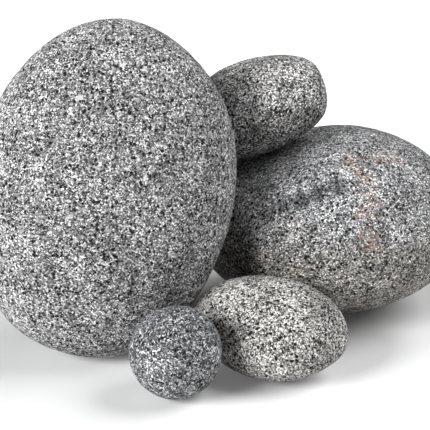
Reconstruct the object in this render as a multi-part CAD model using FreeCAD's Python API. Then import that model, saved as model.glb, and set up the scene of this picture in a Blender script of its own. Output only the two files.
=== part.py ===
import FreeCAD, Part
import math
import os

# A set of five loose massage stones of hard grey rock, tumbled smooth and piled on a flat top.
# +X is to the right of someone facing the pile, -Y is towards them and +Z is up.
# The origin is on the table, under the middle of the pile. Sizes are in millimetres, angles in degrees.
#
# Each stone is an egg with a length, a width and a thickness through its own middle. Its taper says
# how much fuller one end is than the middle. Tumbling also wore flats on it, each of them listed as
# (turn, tilt, depth): it faces so far round from the long axis towards the width and so far up
# towards the thickness, and depth is the rock that is missing at the middle of the flat.
#
# The stones are placed from the standing stone's right edge. Each one is tucked behind or in front
# of that edge by a stated length, then pushed or lowered until it all but touches its neighbours.

# the standing stone, the largest: it stands on end and leans back on the lying and the top stone
standing_length = 112.0
standing_width = 82.0
standing_thickness = 53.0
standing_taper = 0.02
standing_worn = [(27.0, 0.0, 1.5), (182.0, 0.0, 3.2)]
standing_lean_back = 10.0
standing_tip_right = 12.5
standing_turn = 2.5

# the lying stone, on its broad side, with its left end tucked behind the standing stone
lying_length = 95.0
lying_width = 79.0
lying_thickness = 65.0
lying_taper = 0.0
lying_worn = [(188.0, 66.0, 6.0), (0.0, -72.0, 0.8)]
lying_roll = -1.5
lying_tip = 1.5
lying_turn = 5.0
lying_tuck = 14.5

# the top stone, on the lying stone's left shoulder and against the back of the standing stone
top_length = 53.5
top_width = 40.0
top_thickness = 31.5
top_taper = -0.09
top_worn = [(-1.0, -3.0, 4.0)]
top_roll = 1.5
top_tip = -18.0
top_turn = 6.0
top_tuck = 17.5

# the pale stone, in front of the lying stone, with its left end before the standing stone's edge
pale_length = 52.5
pale_width = 37.0
pale_thickness = 27.5
pale_taper = 0.03
pale_worn = [(2.0, 41.0, 3.0), (-35.0, -36.0, 1.7)]
pale_roll = 19.5
pale_tip = 3.5
pale_turn = -26.0
pale_tuck = 15.0

# the round stone, the smallest, at the very front, before the pale stone's left end
round_length = 28.0
round_width = 27.5
round_thickness = 29.0
round_taper = 0.03
round_worn = []
round_roll = 14.0
round_tip = 17.0
round_turn = 18.0
round_tuck = 11.0

# loose stones rest on each other at a point, where this much air is left between them
stone_gap = 0.3

# how sharply a worn flat meets the rest of the stone: a higher power has a tighter edge
edge_power = 10
# rings along a stone's length and points round each ring, through which its skin passes
rings = 33
points_round = 48
# stones start this far from where they are put, clear of each other
start_away = 300.0
# a stone is moved up to its neighbours in at most so many moves, until it is this close to its gap
moves = 200
close_enough = 0.0005
# a move takes this share of the room there is, so that it never overshoots
move_share = 0.9
# the top stone is walked forward by this share of the room it has, and lifted by all of it
walk_share = 0.6

RIGHT = FreeCAD.Vector(1, 0, 0)
BACK = FreeCAD.Vector(0, 1, 0)
UP = FreeCAD.Vector(0, 0, 1)
MIDDLE = FreeCAD.Vector(0, 0, 0)


def worn_planes(half, worn):
    """Each worn flat as the way it faces and its reach, the distance at which it trims the egg."""
    planes = []
    for turn, tilt, depth in worn:
        turn = math.radians(turn)
        tilt = math.radians(tilt)
        facing = (math.cos(turn) * math.cos(tilt), math.sin(turn) * math.cos(tilt), math.sin(tilt))
        unworn = math.sqrt(sum((h * f) ** 2 for h, f in zip(half, facing)))
        trim = (1 - depth / unworn) ** -edge_power - 1
        planes.append((facing, unworn / trim ** (1 / edge_power)))
    return planes


def skin_point(half, taper, planes, along, around):
    """The point of the skin at an angle from the long axis and an angle round it."""
    toward = (math.cos(along), math.sin(along) * math.cos(around), math.sin(along) * math.sin(around))
    egg = [h * t for h, t in zip(half, toward)]
    trim = 1.0
    for facing, reach in planes:
        past = sum(f * e for f, e in zip(facing, egg))
        trim += max(0.0, past / reach) ** edge_power
    x, y, z = [e / trim ** (1 / edge_power) for e in egg]
    fuller = 1 + taper * x / half[0]
    return FreeCAD.Vector(x, y * fuller, z * fuller)


def stone(length, width, thickness, taper, worn):
    """One stone as a closed solid round its own middle: length on X, width on Y, thickness on Z."""
    half = (length / 2, width / 2, thickness / 2)
    planes = worn_planes(half, worn)
    net = []
    for ring in range(rings):
        along = math.pi * ring / (rings - 1)
        rounds = [2 * math.pi * step / points_round for step in range(points_round)]
        points = [skin_point(half, taper, planes, along, around) for around in rounds]
        net.append(points + points[:1])
    skin = Part.BSplineSurface()
    skin.interpolate(net)
    skin.setVPeriodic()
    return Part.Solid(Part.Shell([skin.toShape()]))


def turned(solid, roll, tip, turn):
    """The solid rolled about X, then tipped about Y, then turned about Z."""
    solid.rotate(MIDDLE, RIGHT, roll)
    solid.rotate(MIDDLE, BACK, tip)
    solid.rotate(MIDDLE, UP, turn)
    return solid


def spare_room(solid, others):
    """How much nearer the solid can come to the others before only the stone gap is left."""
    return min(solid.distToShape(other)[0] for other in others) - stone_gap


def bring(solid, way, others):
    """Moves the solid one way until only the stone gap is left between it and the others."""
    for step in range(moves):
        room = spare_room(solid, others)
        if room < close_enough:
            break
        solid.translate(way * move_share * room)
    return solid


def set_down(solid, x):
    """Puts the solid on the table with its middle so far right of the standing stone's edge."""
    solid.translate(RIGHT * x)
    solid.translate(-UP * solid.optimalBoundingBox().ZMin)
    return solid


def push_back(solid, others):
    """Pushes a solid back along the table from in front of the others."""
    solid.translate(-BACK * start_away)
    return bring(solid, BACK, others)


def lying_stone():
    solid = stone(lying_length, lying_width, lying_thickness, lying_taper, lying_worn)
    return set_down(turned(solid, lying_roll, lying_tip, lying_turn), lying_length / 2 - lying_tuck)


def standing_stone(lying):
    solid = stone(standing_length, standing_width, standing_thickness, standing_taper, standing_worn)
    # stood on end: its length up, its width to the right and its thickness back
    solid.rotate(MIDDLE, FreeCAD.Vector(1, 1, 1), -120)
    turned(solid, -standing_lean_back, standing_tip_right, standing_turn)
    return push_back(set_down(solid, -standing_width / 2), [lying])


def top_stone(lying, standing):
    solid = stone(top_length, top_width, top_thickness, top_taper, top_worn)
    turned(solid, top_roll, top_tip, top_turn)
    solid.translate(RIGHT * (top_length / 2 - top_tuck) + BACK * lying_width / 2 + UP * start_away)
    bring(solid, -UP, [lying])
    # walked forward over the lying stone: lifted, moved and let down, each time by less
    for step in range(moves):
        room = spare_room(solid, [standing])
        if room < close_enough:
            break
        solid.translate((UP - BACK * walk_share) * room)
        bring(solid, -UP, [lying])
    return solid


def pale_stone(lying, standing):
    solid = stone(pale_length, pale_width, pale_thickness, pale_taper, pale_worn)
    turned(solid, pale_roll, pale_tip, pale_turn)
    return push_back(set_down(solid, pale_length / 2 - pale_tuck), [lying, standing])


def round_stone(standing, pale):
    solid = stone(round_length, round_width, round_thickness, round_taper, round_worn)
    turned(solid, round_roll, round_tip, round_turn)
    return push_back(set_down(solid, round_tuck - pale_tuck - round_length / 2), [standing, pale])


lying = lying_stone()
standing = standing_stone(lying)
top = top_stone(lying, standing)
pale = pale_stone(lying, standing)
stones = {
    "lying_stone": lying,
    "standing_stone": standing,
    "top_stone": top,
    "pale_stone": pale,
    "round_stone": round_stone(standing, pale),
}

pile = Part.Compound(list(stones.values())).optimalBoundingBox()
os.makedirs("parts", exist_ok=True)
for name, solid in stones.items():
    solid.translate(-RIGHT * pile.Center.x - BACK * pile.Center.y)
    solid.exportStep("parts/" + name + ".step")
    box = solid.optimalBoundingBox()
    print(name, "valid" if solid.isValid() else "NOT VALID", "volume", round(solid.Volume / 1000, 2), "cm3")
    print("  x", round(box.XMin, 2), round(box.XMax, 2), "y", round(box.YMin, 2), round(box.YMax, 2),
          "z", round(box.ZMin, 2), round(box.ZMax, 2))
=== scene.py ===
import math

import bmesh
import bpy
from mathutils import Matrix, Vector, noise
from mathutils.bvhtree import BVHTree


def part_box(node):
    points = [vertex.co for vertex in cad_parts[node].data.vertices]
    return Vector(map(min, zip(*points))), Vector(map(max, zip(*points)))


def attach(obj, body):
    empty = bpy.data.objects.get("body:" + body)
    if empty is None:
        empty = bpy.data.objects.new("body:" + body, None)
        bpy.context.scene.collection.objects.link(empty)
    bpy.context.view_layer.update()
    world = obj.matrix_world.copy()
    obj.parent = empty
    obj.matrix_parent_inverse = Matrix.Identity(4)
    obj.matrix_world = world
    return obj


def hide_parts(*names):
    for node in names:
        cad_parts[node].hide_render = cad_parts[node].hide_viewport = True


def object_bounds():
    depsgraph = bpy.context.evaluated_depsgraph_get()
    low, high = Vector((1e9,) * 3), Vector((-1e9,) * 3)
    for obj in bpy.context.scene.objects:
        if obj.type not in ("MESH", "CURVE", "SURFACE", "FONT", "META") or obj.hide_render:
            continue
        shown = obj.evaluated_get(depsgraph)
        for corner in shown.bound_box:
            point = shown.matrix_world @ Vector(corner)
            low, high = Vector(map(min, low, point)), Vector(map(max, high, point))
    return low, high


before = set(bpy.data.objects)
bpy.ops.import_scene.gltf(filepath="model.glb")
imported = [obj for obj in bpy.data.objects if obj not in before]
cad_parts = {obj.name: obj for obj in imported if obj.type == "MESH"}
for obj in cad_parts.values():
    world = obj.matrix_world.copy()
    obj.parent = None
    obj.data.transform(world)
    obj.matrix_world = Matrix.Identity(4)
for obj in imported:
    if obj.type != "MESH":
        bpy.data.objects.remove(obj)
cad_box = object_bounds()

# The standing stone, the largest of the five. It is a lump of hard grey rock with grains up to a
# millimetre across and open pores, tumbled with grit until it was a smooth egg. It stands loose on
# its end.

MM = 0.001


def tumbled(name, cad_stone, cuts, roughness_mm, start, hollows=()):
    """A stone's skin: a cube cut into small squares, blown up onto the CAD stone and then worn.
    Each stone starts at a place of its own in the noise, so that no two are worn alike. A hollow
    is (right, back, up, radius, depth) in millimetres from the middle of the stone."""
    low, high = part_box(cad_stone)
    middle = (low + high) / 2
    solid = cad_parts[cad_stone].data
    corners = [vertex.co for vertex in solid.vertices]
    core = BVHTree.FromPolygons(corners, [tuple(side.vertices) for side in solid.polygons])
    rock = bmesh.new()
    bmesh.ops.create_cube(rock, size=2)
    # the cube's six sides lie in two rows of three in the UV map, with a small gap between them
    unfolded = rock.loops.layers.uv.new("OFBake")
    near, far = 0.01, 0.99
    tile = ((near, near), (far, near), (far, far), (near, far))
    for number, side in enumerate(rock.faces):
        for loop, (u, v) in zip(side.loops, tile):
            loop[unfolded].uv = ((number % 3 + u) / 3, (number // 3 + v) / 2)
    bmesh.ops.subdivide_edges(rock, edges=rock.edges[:], cuts=cuts, use_grid_fill=True)
    for vertex in rock.verts:
        outward = Vector([math.tan(part * math.pi / 4) for part in vertex.co]).normalized()
        skin = core.ray_cast(middle, outward)[0]
        if skin is None:
            skin = core.find_nearest(middle + outward * (high - low).length / 2)[0]
        vertex.co = skin
    rock.normal_update()
    for vertex in rock.verts:
        place = vertex.co - middle
        vertex.co -= vertex.normal * worn_depth(place / MM, start, roughness_mm, hollows) * MM
    rock.normal_update()
    mesh = bpy.data.meshes.new(name)
    rock.to_mesh(mesh)
    rock.free()
    mesh.polygons.foreach_set("use_smooth", [True] * len(mesh.polygons))
    stone = bpy.data.objects.new(name, mesh)
    bpy.context.scene.collection.objects.link(stone)
    return stone


SWELL_WIDTH = 19
RIPPLE_WIDTH = 8.5
CHIP_WIDTH = 4.2
PIT_SPACING = 3.4
TOOTH_WIDTH = 2.3
LEAST_WORN = -0.05


def worn_depth(place, start, roughness_mm, hollows):
    """How much rock is missing at a place: broad swells, chips, pits, tooth and hollows. All of
    its sizes are in millimetres, and a depth below 0 stands out from the CAD stone."""
    shifted = place + Vector(start)
    swell = noise.noise(shifted / SWELL_WIDTH) + 0.5 * noise.noise(shifted / RIPPLE_WIDTH)
    chip = max(0.0, noise.noise(shifted / CHIP_WIDTH) - 0.2)
    pit = max(0.0, 1 - 3.2 * noise.voronoi(shifted / PIT_SPACING)[0][0]) ** 2
    tooth = noise.noise(shifted / TOOTH_WIDTH)
    depth = 0.16 + roughness_mm * (0.16 * swell + 0.3 * chip + 0.16 * pit + 0.06 * tooth)
    for right, back, up, radius, deep in hollows:
        away = (place - Vector((right, back, up))).length / radius
        depth += deep * math.exp(-away * away)
    return max(depth, LEAST_WORN)


def node(tree, kind, inputs=(), **settings):
    """A new shader node, with each input joined to another node's output or set to a value."""
    made = tree.nodes.new(kind)
    for setting, value in settings.items():
        setattr(made, setting, value)
    for socket, value in dict(inputs).items():
        if isinstance(value, bpy.types.NodeSocket):
            tree.links.new(value, made.inputs[socket])
        else:
            made.inputs[socket].default_value = value
    return made


def maths(tree, operation, *values, clamp=False):
    """The result of one sum on values or sockets."""
    sum_node = node(tree, "ShaderNodeMath", enumerate(values), operation=operation, use_clamp=clamp)
    return sum_node.outputs[0]


def blended(tree, share, first, second, way="MIX"):
    """The first colour with that share of the second laid over it."""
    mixer = node(tree, "ShaderNodeMix", data_type="RGBA", blend_type=way)
    for socket, value in ((0, share), (6, first), (7, second)):
        if isinstance(value, bpy.types.NodeSocket):
            tree.links.new(value, mixer.inputs[socket])
        else:
            mixer.inputs[socket].default_value = value
    return mixer.outputs[2]


def step(tree, value, start, end):
    """0 below the start and 1 above the end, with a soft rise between them."""
    ramp = {"Value": value, "From Min": start, "From Max": end}
    return node(tree, "ShaderNodeMapRange", ramp, interpolation_type="SMOOTHSTEP").outputs[0]


def new_group(name, inputs, outputs):
    """An empty shader node group with named sockets, and its input and output nodes."""
    tree = bpy.data.node_groups.new(name, "ShaderNodeTree")
    for socket, kind in inputs.items():
        tree.interface.new_socket(socket, in_out="INPUT", socket_type="NodeSocket" + kind)
    for socket, kind in outputs.items():
        tree.interface.new_socket(socket, in_out="OUTPUT", socket_type="NodeSocket" + kind)
    return tree, tree.nodes.new("NodeGroupInput").outputs, tree.nodes.new("NodeGroupOutput").inputs


def ragged(tree, place, size, amount):
    """The place pushed about by noise of that size, so that what is drawn there has a broken edge."""
    per_metre = maths(tree, "DIVIDE", 1.0, size)
    push = node(tree, "ShaderNodeTexNoise", {"Vector": place, "Scale": per_metre, "Detail": 1.0})
    either_way = {0: push.outputs["Color"], 1: (0.5, 0.5, 0.5)}
    centred = node(tree, "ShaderNodeVectorMath", either_way, operation="SUBTRACT")
    scaled = node(tree, "ShaderNodeVectorMath", {0: centred.outputs[0]}, operation="SCALE")
    tree.links.new(maths(tree, "MULTIPLY", size, amount), scaled.inputs["Scale"])
    pushed = {0: place, 1: scaled.outputs[0]}
    return node(tree, "ShaderNodeVectorMath", pushed, operation="ADD").outputs[0]


def make_mineral_grains():
    """Crystals grown into each other: dark, grey and white ones, each of its own shade."""
    tree, given, out = new_group(
        "mineral grains",
        {"Place": "Vector", "Grain": "Float", "Dark": "Color", "Grey": "Color", "White": "Color",
         "Dark Share": "Float", "White Share": "Float"},
        {"Colour": "Color", "White Mask": "Float", "Relief": "Float"},
    )
    per_metre = maths(tree, "DIVIDE", 1.0, given["Grain"])
    place = ragged(tree, given["Place"], given["Grain"], 1.1)
    crystals = node(tree, "ShaderNodeTexVoronoi", {"Vector": place, "Scale": per_metre})
    kind = node(tree, "ShaderNodeSeparateColor", {0: crystals.outputs["Color"]})
    fine_scale = maths(tree, "MULTIPLY", per_metre, 1.7)
    fine_noise = {"Vector": given["Place"], "Scale": fine_scale, "Detail": 2.0}
    fine = node(tree, "ShaderNodeTexNoise", fine_noise)
    clump_scale = maths(tree, "MULTIPLY", per_metre, 0.2)
    clump_noise = {"Vector": given["Place"], "Scale": clump_scale, "Detail": 2.0}
    clumps = node(tree, "ShaderNodeTexNoise", clump_noise)
    # each crystal's own tone, broken by fine noise and gathered into clumps, picks its mineral
    tone = maths(tree, "MULTIPLY_ADD", fine.outputs[0], 0.7, kind.outputs[0])
    tone = maths(tree, "MULTIPLY_ADD", clumps.outputs[0], 0.6, tone)
    tone = maths(tree, "SUBTRACT", tone, 0.65)
    soft = 0.08
    dark_edge = maths(tree, "SUBTRACT", given["Dark Share"], tone)
    dark = step(tree, dark_edge, -soft, soft)
    white_edge = maths(tree, "ADD", maths(tree, "SUBTRACT", tone, 1.0), given["White Share"])
    white = step(tree, white_edge, -soft, soft)
    colour = blended(tree, dark, given["Grey"], given["Dark"])
    colour = blended(tree, white, colour, given["White"])
    shade = maths(tree, "MULTIPLY_ADD", kind.outputs[1], 0.8, 0.6)
    tree.links.new(blended(tree, 1.0, colour, shade, "MULTIPLY"), out["Colour"])
    tree.links.new(white, out["White Mask"])
    # white crystals are hard and stand out, and dark ones are worn down
    relief = maths(tree, "SUBTRACT", white, maths(tree, "MULTIPLY", dark, 1.2))
    tree.links.new(maths(tree, "MULTIPLY_ADD", fine.outputs[0], 1.2, relief), out["Relief"])
    return tree


def make_scattered_spots():
    """Ragged round spots, one in some of the cells of a rough lattice, such as pores or big crystals."""
    tree, given, out = new_group(
        "scattered spots",
        {"Place": "Vector", "Spacing": "Float", "Radius": "Float", "Share": "Float",
         "Raggedness": "Float"},
        {"Mask": "Float"},
    )
    place = ragged(tree, given["Place"], given["Radius"], given["Raggedness"])
    per_metre = maths(tree, "DIVIDE", 1.0, given["Spacing"])
    cells = node(tree, "ShaderNodeTexVoronoi", {"Vector": place, "Scale": per_metre, "Randomness": 0.9})
    kind = node(tree, "ShaderNodeSeparateColor", {0: cells.outputs["Color"]})
    away = maths(tree, "MULTIPLY", cells.outputs["Distance"], given["Spacing"])
    # a spot is from half to one and a half times the stated radius
    own_radius = maths(tree, "MULTIPLY", given["Radius"], maths(tree, "ADD", kind.outputs[1], 0.5))
    inside = step(tree, maths(tree, "DIVIDE", away, own_radius), 1.15, 0.7)
    chosen = maths(tree, "LESS_THAN", kind.outputs[0], given["Share"])
    tree.links.new(maths(tree, "MULTIPLY", inside, chosen), out["Mask"])
    return tree


mineral_grains = make_mineral_grains()
scattered_spots = make_scattered_spots()


def grey(value, warmth=0.0):
    """A grey of that lightness, from bluish at a warmth below 0 to cream above it."""
    return (value * (1 + 0.6 * warmth), value, value * (1 - warmth), 1.0)


def spots(tree, place, spacing_mm, radius_mm, share, raggedness):
    """A mask of scattered spots, in that share of the cells of their lattice."""
    sizes = {
        "Place": place, "Spacing": spacing_mm * MM, "Radius": radius_mm * MM,
        "Share": share, "Raggedness": raggedness,
    }
    return node(tree, "ShaderNodeGroup", sizes, node_tree=scattered_spots).outputs["Mask"]


def speckled_rock(name, start, grain_mm, dark, middle, white, dark_share, white_share, crystals, pores):
    """A stone's finish. The shares are those of the dark and the white grains, of the big crystals
    and of the open pores, from 0 for none to 1 for all."""
    material = bpy.data.materials.new(name)
    material.use_nodes = True
    tree = material.node_tree
    shader = tree.nodes["Principled BSDF"]
    coordinates = node(tree, "ShaderNodeTexCoord").outputs["Object"]
    shift = {"Vector": coordinates, "Location": [part * MM for part in start]}
    place = node(tree, "ShaderNodeMapping", shift).outputs[0]
    grains = node(
        tree, "ShaderNodeGroup",
        {"Place": place, "Grain": grain_mm * MM, "Dark": dark, "Grey": middle, "White": white,
         "Dark Share": dark_share, "White Share": white_share},
        node_tree=mineral_grains,
    ).outputs
    # white crystals, small ones in clusters and a few big ones, and dark clots between them, each
    # with some of the rock showing through
    small = spots(tree, place, spacing_mm=2.2, radius_mm=0.52, share=0.5, raggedness=1.8)
    big = spots(tree, place, spacing_mm=6.5, radius_mm=0.9, share=crystals, raggedness=1.9)
    clots = spots(tree, place, spacing_mm=4.3, radius_mm=0.9, share=0.4, raggedness=2.0)
    colour = blended(tree, maths(tree, "MULTIPLY", clots, 0.35), grains["Colour"], dark)
    colour = blended(tree, maths(tree, "MULTIPLY", small, 0.42), colour, white)
    colour = blended(tree, maths(tree, "MULTIPLY", big, 0.72), colour, white)
    # broad cloudy patches, where the skin is more or less rubbed
    patch_width = 10 * MM
    patches = {"Vector": place, "Scale": 1 / patch_width, "Detail": 4.0}
    cloud = node(tree, "ShaderNodeTexNoise", patches).outputs[0]
    rubbed = step(tree, cloud, 0.34, 0.66)
    # open pores, painted near black for the shadow and the dust they hold, and fewer where it is rubbed
    pore_share = maths(tree, "MULTIPLY_ADD", rubbed, -0.35, pores + 0.17)
    pore_mask = spots(tree, place, spacing_mm=1.38, radius_mm=0.38, share=pore_share, raggedness=1.15)
    # painted shadow and dust: the pores are laid on nearly black
    colour = blended(tree, maths(tree, "MULTIPLY", pore_mask, 0.96), colour, grey(0.008))
    lightness = maths(tree, "MULTIPLY_ADD", rubbed, 0.36, 0.83)
    colour = blended(tree, 1.0, colour, lightness, "MULTIPLY")
    tree.links.new(colour, shader.inputs["Base Color"])
    # polished white crystals are smoother than the grey rock, and pores are dull
    dull = maths(tree, "MULTIPLY_ADD", grains["White Mask"], -0.2, 0.72)
    dull = maths(tree, "MULTIPLY_ADD", rubbed, -0.08, dull)
    dull = maths(tree, "MULTIPLY_ADD", pore_mask, 0.3, dull, clamp=True)
    tree.links.new(dull, shader.inputs["Roughness"])
    shader.inputs["Specular IOR Level"].default_value = 0.4
    # pores are sunk and big crystals stand a little proud
    height = maths(tree, "MULTIPLY_ADD", pore_mask, -2.4, grains["Relief"])
    height = maths(tree, "MULTIPLY_ADD", big, 0.4, height)
    grain_height = 0.14 * MM
    relief = {"Strength": 1.0, "Distance": grain_height, "Height": height}
    bump = node(tree, "ShaderNodeBump", relief)
    tree.links.new(bump.outputs[0], shader.inputs["Normal"])
    return material


# the soft crease low on its left side
STANDING_HOLLOWS = [
    (-21, -21, -39, 3.5, 0.5),
    (-18, -24, -34, 3.0, 0.35),
]
standing_rock = speckled_rock(
    "standing rock", start=(0, 0, 0), grain_mm=0.38,
    dark=grey(0.035), middle=grey(0.255), white=grey(0.78),
    dark_share=0.28, white_share=0.25, crystals=0.45, pores=0.75,
)
standing_stone = tumbled(
    "standing_stone_rock", "standing_stone", cuts=126, roughness_mm=1.3, start=(11, 3, 7),
    hollows=STANDING_HOLLOWS,
)
standing_stone.data.materials.append(standing_rock)
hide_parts("standing_stone")
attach(standing_stone, "standing_stone")

# The lying stone is nearly as large and lies loose on its broad side, behind the others. It is of the
# same tumbled rock, a little bluer, with clay rubbed into its lower half, painted shade darkening a
# crease across its left shoulder and a streak of rust-coloured grains down its front.

# places are (right, back, up) in millimetres from the middle of the stone
LYING_CREASE = [(-23, -32, 13), (-18, -32, 16), (-12, -31, 18), (-6, -30, 20), (0, -29, 22)]
CREASE_RADIUS = 3.2
CREASE_DEPTH = 1.8
# how far from the crease its painted shade reaches, in millimetres
CREASE_SHADE_RADIUS = 4.6
LYING_RUST = [
    (5, -20, 28), (7, -24, 25.5), (9, -27, 23), (10.5, -29.5, 20.5), (12.5, -31.5, 18), (9.5, -34.5, 15),
    (7.5, -36, 13), (8.5, -37, 9), (10.5, -38, 5), (13, -19, 27.5), (16.5, -15.5, 28), (20, -16, 26.5),
]
RUST_RADIUS = 4.2
RUST = (0.44, 0.25, 0.18, 1.0)
# the grey multiplied over the crease as painted shade
CREASE_SHADE_TINT = (0.22, 0.22, 0.23, 1.0)
CLAY_TINT = (0.96, 0.91, 0.83, 1.0)
CLAY_SPECK = (0.5, 0.41, 0.26, 1.0)
# in metres: the clay thins out between the two heights, less a wave of up to the given one
CLAY_LOW = 0.042
CLAY_HIGH = 0.062
CLAY_WAVE = 0.03
lying_stone = tumbled(
    "lying_stone_rock", "lying_stone", cuts=126, roughness_mm=1.3, start=(47, 19, 31),
    hollows=[(*point, CREASE_RADIUS, CREASE_DEPTH) for point in LYING_CREASE],
)
lying_low, lying_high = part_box("lying_stone")


def paint_streak(stone, name, points, middle, radius):
    """Paints how near each place of the skin is to a streak, from 0 at the radius to 1 on a point."""
    streak = stone.data.attributes.new(name, "FLOAT", "POINT")
    line = [middle + Vector(point) * MM for point in points]
    for vertex in stone.data.vertices:
        away = min((vertex.co - point).length for point in line)
        streak.data[vertex.index].value = max(0.0, 1 - away / radius)


lying_middle = (lying_low + lying_high) / 2
paint_streak(lying_stone, "rust_streak", LYING_RUST, lying_middle, RUST_RADIUS * MM)
# a mask along the crease, for the painted shade laid over it
paint_streak(lying_stone, "crease", LYING_CREASE, lying_middle, CREASE_SHADE_RADIUS * MM)
lying_rock = speckled_rock(
    "lying rock", start=(61, 17, 29), grain_mm=0.38,
    dark=grey(0.04, -0.025), middle=grey(0.26, -0.015), white=grey(0.77, -0.01),
    dark_share=0.27, white_share=0.24, crystals=0.4, pores=0.85,
)


def stain_lying_rock(material):
    """Lays clay, painted shade along the crease and rust over the lying stone's finish."""
    tree = material.node_tree
    base = tree.nodes["Principled BSDF"].inputs["Base Color"]
    colour = base.links[0].from_socket
    place = node(tree, "ShaderNodeTexCoord").outputs["Object"]
    # clay rubbed into its lower half
    up = node(tree, "ShaderNodeSeparateXYZ", {0: place}).outputs[2]
    drift = node(tree, "ShaderNodeTexNoise", {"Vector": place, "Scale": 90.0, "Detail": 3.0}).outputs[0]
    height = maths(tree, "MULTIPLY_ADD", drift, CLAY_WAVE, up)
    clay = maths(tree, "MULTIPLY", step(tree, height, CLAY_HIGH, CLAY_LOW), 0.8)
    colour = blended(tree, clay, colour, CLAY_TINT, "MULTIPLY")
    specks = spots(tree, place, spacing_mm=1.9, radius_mm=0.4, share=0.3, raggedness=1.4)
    specks = maths(tree, "MULTIPLY", specks, clay)
    colour = blended(tree, maths(tree, "MULTIPLY", specks, 0.6), colour, CLAY_SPECK)
    # painted shade darkening the crease across its left shoulder, broken up by noise
    crease = node(tree, "ShaderNodeAttribute", attribute_name="crease").outputs["Fac"]
    crease_shade = maths(tree, "MULTIPLY_ADD", drift, 0.8, maths(tree, "SUBTRACT", crease, 0.4))
    crease_shade = maths(tree, "MULTIPLY", step(tree, crease_shade, 0.0, 0.7), step(tree, crease, 0.0, 0.3))
    crease_shade = maths(tree, "MULTIPLY", crease_shade, 0.75)
    colour = blended(tree, crease_shade, colour, CREASE_SHADE_TINT, "MULTIPLY")
    # single grains turned to rust, close together along the streak
    streak = node(tree, "ShaderNodeAttribute", attribute_name="rust_streak").outputs["Fac"]
    rusty = spots(tree, place, spacing_mm=0.75, radius_mm=0.3, share=0.7, raggedness=1.2)
    rust = maths(tree, "MULTIPLY", rusty, step(tree, streak, 0.0, 0.5))
    rust = maths(tree, "MULTIPLY", rust, 0.85)
    tree.links.new(blended(tree, rust, colour, RUST), base)


stain_lying_rock(lying_rock)
lying_stone.data.materials.append(lying_rock)
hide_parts("lying_stone")
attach(lying_stone, "lying_stone")

# The top stone is a small one that lies loose on the left shoulder of the lying stone. It is of the
# same rock with more black and white grains, and tumbling has worn its right end flat.

top_stone = tumbled("top_stone_rock", "top_stone", cuts=92, roughness_mm=1.2, start=(5, 53, 23))
top_rock = speckled_rock(
    "top rock", start=(23, 71, 11), grain_mm=0.38,
    dark=grey(0.03), middle=grey(0.26, 0.01), white=grey(0.84, 0.01),
    dark_share=0.31, white_share=0.29, crystals=0.4, pores=0.8,
)
top_stone.data.materials.append(top_rock)
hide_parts("top_stone")
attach(top_stone, "top_stone")

# The pale stone is a small smooth one that lies loose in front of the lying stone. Its rock is the
# lightest, cream with crisp black grains, and has the fewest big crystals.

pale_stone = tumbled("pale_stone_rock", "pale_stone", cuts=92, roughness_mm=0.8, start=(31, 7, 41))
pale_rock = speckled_rock(
    "pale rock", start=(37, 5, 83), grain_mm=0.36,
    dark=grey(0.025, 0.03), middle=grey(0.28, 0.04), white=grey(0.7, 0.035),
    dark_share=0.29, white_share=0.32, crystals=0.25, pores=0.85,
)
pale_stone.data.materials.append(pale_rock)
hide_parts("pale_stone")
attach(pale_stone, "pale_stone")

# The round stone is the smallest and smoothest, tumbled until it was almost a ball. It lies loose at
# the very front. Its rock is the darkest and bluest, and has the most big white crystals.

round_stone = tumbled("round_stone_rock", "round_stone", cuts=70, roughness_mm=0.7, start=(3, 29, 61))
round_rock = speckled_rock(
    "round rock", start=(7, 43, 19), grain_mm=0.37,
    dark=grey(0.025, -0.03), middle=grey(0.165, -0.03), white=grey(0.68, -0.02),
    dark_share=0.3, white_share=0.21, crystals=0.7, pores=0.7,
)
round_stone.data.materials.append(round_rock)
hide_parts("round_stone")
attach(round_stone, "round_stone")

# The table top that the pile stands on: a plain white sheet with a painted glow that only the camera
# sees, which makes it a little brighter in front of the pile and brighter the further it is from the
# pile. It isn't part of the object.

TABLE_HALF = 6.0
PLAIN_WHITE = (0.62, 0.62, 0.62, 1.0)
COOL_WHITE = (0.6, 0.605, 0.61, 1.0)
THROWN_NEAR = (0.85, 0.85, 0.85, 1.0)
THROWN_FAR = (0.12, 0.12, 0.12, 1.0)
FRONT_GLOW = 0.12
FAR_GLOW = 0.38


def table_white():
    material = bpy.data.materials.new("table white")
    material.use_nodes = True
    tree = material.node_tree
    shader = tree.nodes["Principled BSDF"]
    place = node(tree, "ShaderNodeTexCoord").outputs["Object"]
    mottle = node(tree, "ShaderNodeTexNoise", {"Vector": place, "Scale": 6.0, "Detail": 2.0}).outputs[0]
    white = blended(tree, mottle, COOL_WHITE, PLAIN_WHITE)
    # the table close to the pile throws light back up at it, and the rest hardly does
    pile_front = (0.0, -0.045, 0.0)
    from_front = {0: place, 1: pile_front}
    away = node(tree, "ShaderNodeVectorMath", from_front, operation="DISTANCE").outputs["Value"]
    path = node(tree, "ShaderNodeLightPath").outputs
    thrown = blended(tree, step(tree, away, 0.12, 0.3), THROWN_NEAR, THROWN_FAR)
    colour = blended(tree, path["Is Diffuse Ray"], white, thrown)
    tree.links.new(colour, shader.inputs["Base Color"])
    shader.inputs["Roughness"].default_value = 0.6
    shader.inputs["Specular IOR Level"].default_value = 0.25
    # painted glow, seen by the camera alone: a little in front of the pile, where it lifts the shadows,
    # and more of it far away
    back = node(tree, "ShaderNodeSeparateXYZ", {0: place}).outputs[1]
    glow = maths(tree, "MULTIPLY", step(tree, back, 0.035, -0.03), FRONT_GLOW)
    glow = maths(tree, "MULTIPLY_ADD", step(tree, away, 0.06, 0.3), FAR_GLOW, glow)
    glow = maths(tree, "MULTIPLY", glow, path["Is Camera Ray"])
    tree.links.new(blended(tree, glow, (0, 0, 0, 1), (1, 1, 1, 1)), shader.inputs["Emission Color"])
    shader.inputs["Emission Strength"].default_value = 1.0
    return material


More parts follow.
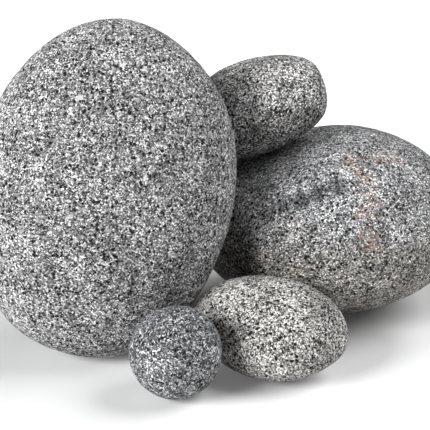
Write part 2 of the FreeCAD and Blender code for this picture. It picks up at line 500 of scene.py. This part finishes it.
sheet = bmesh.new()
bmesh.ops.create_grid(sheet, x_segments=40, y_segments=40, size=TABLE_HALF)
table_mesh = bpy.data.meshes.new("table")
sheet.to_mesh(table_mesh)
sheet.free()
table_mesh.materials.append(table_white())
table = bpy.data.objects.new("table", table_mesh)
bpy.context.scene.collection.objects.link(table)

# The studio: a large key light from the front left, a broad one from the right, and a dim room that
# the camera alone sees as plain white. Both lights are far away, so they light the whole pile evenly.

STUDIO_RADIUS = 1.5


def aimed(thing, place, at):
    """Puts a light or the camera in its place, and turns it to look at a point."""
    thing.location = place
    thing.rotation_euler = (at - place).to_track_quat("-Z", "Y").to_euler()
    bpy.context.scene.collection.objects.link(thing)


def around(at, turn, up, distance):
    """The place that far from a point, at a turn to the right of the front and a height, in degrees."""
    turn, up = math.radians(turn), math.radians(up)
    way = Vector((math.sin(turn) * math.cos(up), -math.cos(turn) * math.cos(up), math.sin(up)))
    return at + way * distance


pile_middle = Vector((0, 0, cad_box[1].z / 2))


def softbox(name, turn, up, strength, spread):
    """A large soft light from afar: its rays differ in direction only by the spread, in degrees."""
    light = bpy.data.lights.new(name, "SUN")
    light.energy = strength
    light.angle = math.radians(spread)
    aimed(bpy.data.objects.new(name, light), around(pile_middle, turn, up, STUDIO_RADIUS), pile_middle)


softbox("key softbox", turn=-55, up=26, strength=4.5, spread=28)
softbox("right softbox", turn=96, up=46, strength=2.7, spread=44)

room = bpy.data.worlds.new("room")
room.use_nodes = True
air = room.node_tree.nodes["Background"]
air.inputs["Color"].default_value = (1.0, 1.0, 1.0, 1.0)
ROOM_LIGHT = 0.04
seen = node(room.node_tree, "ShaderNodeLightPath").outputs["Is Camera Ray"]
dim = maths(room.node_tree, "MAXIMUM", seen, ROOM_LIGHT)
room.node_tree.links.new(dim, air.inputs["Strength"])
bpy.context.scene.world = room
view = bpy.context.scene.view_settings
view.view_transform = "Standard"
view.look = "Medium High Contrast"

# The camera looks at the pile from the front and a little above, through a long lens. Its view ends
# just inside the outer sides of the standing and the lying stone.

CAMERA_AIM = Vector((-5.1, -11.1, 45.0)) * MM
CAMERA_ELEVATION = 20
CAMERA_DISTANCE = 0.3886
LENS_ANGLE = 20
camera_data = bpy.data.cameras.new("camera")
camera_data.angle = math.radians(LENS_ANGLE)
camera = bpy.data.objects.new("camera", camera_data)
aimed(camera, around(CAMERA_AIM, 0, CAMERA_ELEVATION, CAMERA_DISTANCE), CAMERA_AIM)
bpy.context.scene.camera = camera
